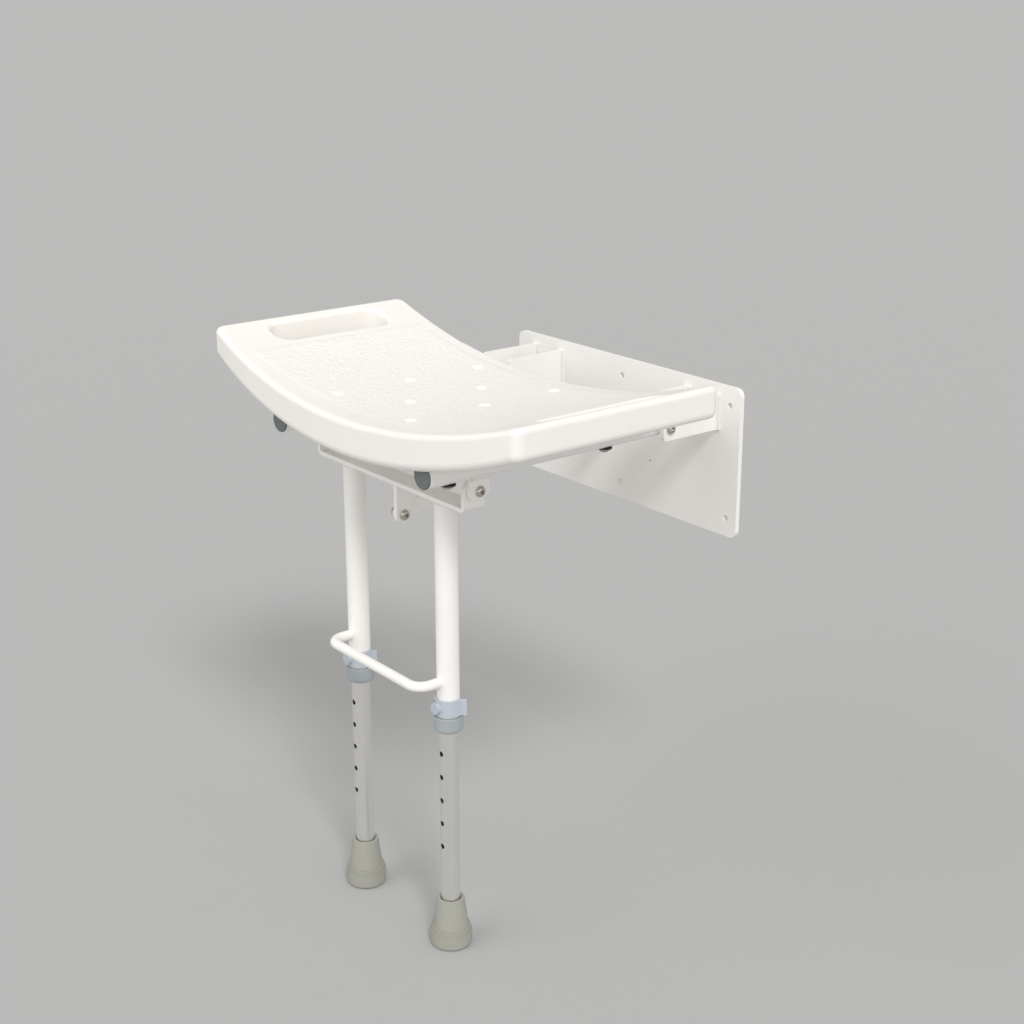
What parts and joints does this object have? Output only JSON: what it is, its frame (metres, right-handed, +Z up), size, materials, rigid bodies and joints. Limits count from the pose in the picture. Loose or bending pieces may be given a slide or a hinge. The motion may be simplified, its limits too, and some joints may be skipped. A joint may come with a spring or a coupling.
{
  "type": "fold down wall seat",
  "caption": "White fold-down shower seat on a wall plate, with a dished plastic board, hinged arms, a stay and height-adjustable legs with rubber feet.",
  "frame": {"origin": "middle of the wall plate's back face, at the centre of its screw holes", "axes": "+X along the wall towards the near side in the picture, +Y into the wall, +Z up"},
  "size_m": [0.494, 0.36, 0.5802],
  "materials": {
    "white_powder_coat": "satin",
    "seat_plastic": "satin",
    "stainless": "polished",
    "dark_zinc": "satin",
    "spacer_nylon": "matte",
    "plug_plastic": "matte",
    "collar_plastic": "satin",
    "clip_plastic": "satin",
    "anodised_aluminium": "satin",
    "foot_rubber": "matte"
  },
  "bodies": {
    "wall_bracket": {"wall_plate": "white_powder_coat", "arm_near_outer": "white_powder_coat", "arm_near_inner": "white_powder_coat", "arm_far_outer": "white_powder_coat", "arm_far_inner": "white_powder_coat", "stay_arm": "white_powder_coat", "bracket_welds": "white_powder_coat", "wall_pivot_bolts": "stainless", "wall_pivot_nuts": "stainless", "wall_pivot_spacers": "spacer_nylon", "stay_pin": "stainless", "stay_pin_nut": "stainless"},
    "seat": {"seat_board": "seat_plastic", "seat_tube_near": "white_powder_coat", "seat_tube_far": "white_powder_coat", "tube_plugs": "plug_plastic", "seat_screws": "stainless", "seat_washers": "dark_zinc", "leg_lug_near": "white_powder_coat", "leg_lug_far": "white_powder_coat", "lug_welds": "white_powder_coat", "leg_pivot_bolts": "stainless", "leg_pivot_nuts": "stainless"},
    "leg_frame": {"leg_strip": "white_powder_coat", "upper_tube_near": "white_powder_coat", "upper_tube_far": "white_powder_coat", "leg_rail": "white_powder_coat", "stay_lug": "white_powder_coat", "leg_welds": "white_powder_coat", "collar_near": "collar_plastic", "collar_far": "collar_plastic", "stay_bolt": "stainless", "stay_nut": "stainless"},
    "stay": {"stay_bar": "white_powder_coat"},
    "lower_leg_near": {"lower_tube_near": "anodised_aluminium", "foot_near": "foot_rubber"},
    "lower_leg_far": {"lower_tube_far": "anodised_aluminium", "foot_far": "foot_rubber"},
    "clip_near": {"clip_near": "clip_plastic", "clip_pin_near": "stainless"},
    "clip_far": {"clip_far": "clip_plastic", "clip_pin_far": "stainless"}
  },
  "joints": [
    {"name": "seat_fold", "type": "hinge", "parent": "wall_bracket", "child": "seat", "pos_m": [0, -0.07, 0.0425], "axis": [-1, 0, 0], "range_deg": [0, 90]},
    {"name": "leg_fold", "type": "hinge", "parent": "seat", "child": "leg_frame", "pos_m": [0, -0.2885, 0.02], "axis": [1, 0, 0], "range_deg": [0, 90]},
    {"name": "stay_swing", "type": "hinge", "parent": "leg_frame", "child": "stay", "pos_m": [-0.0055, -0.285, -0.0355], "axis": [-1, 0, 0], "range_deg": [0, 104]},
    {"name": "leg_height_near", "type": "slide", "parent": "leg_frame", "child": "lower_leg_near", "axis": [0, 0, 1], "range_m": [-0.025, 0.15]},
    {"name": "leg_height_far", "type": "slide", "parent": "leg_frame", "child": "lower_leg_far", "axis": [0, 0, 1], "range_m": [-0.025, 0.15]},
    {"name": "clip_pull_near", "type": "slide", "parent": "leg_frame", "child": "clip_near", "axis": [0, -1, 0], "range_m": [0, 0.02]},
    {"name": "clip_pull_far", "type": "slide", "parent": "leg_frame", "child": "clip_far", "axis": [0, -1, 0], "range_m": [0, 0.02]}
  ],
  "couplings": [
    {"joint": "leg_fold", "follows": "seat_fold", "ratio": 1},
    {"joint": "stay_swing", "follows": "seat_fold", "ratio": 1.155}
  ]
}
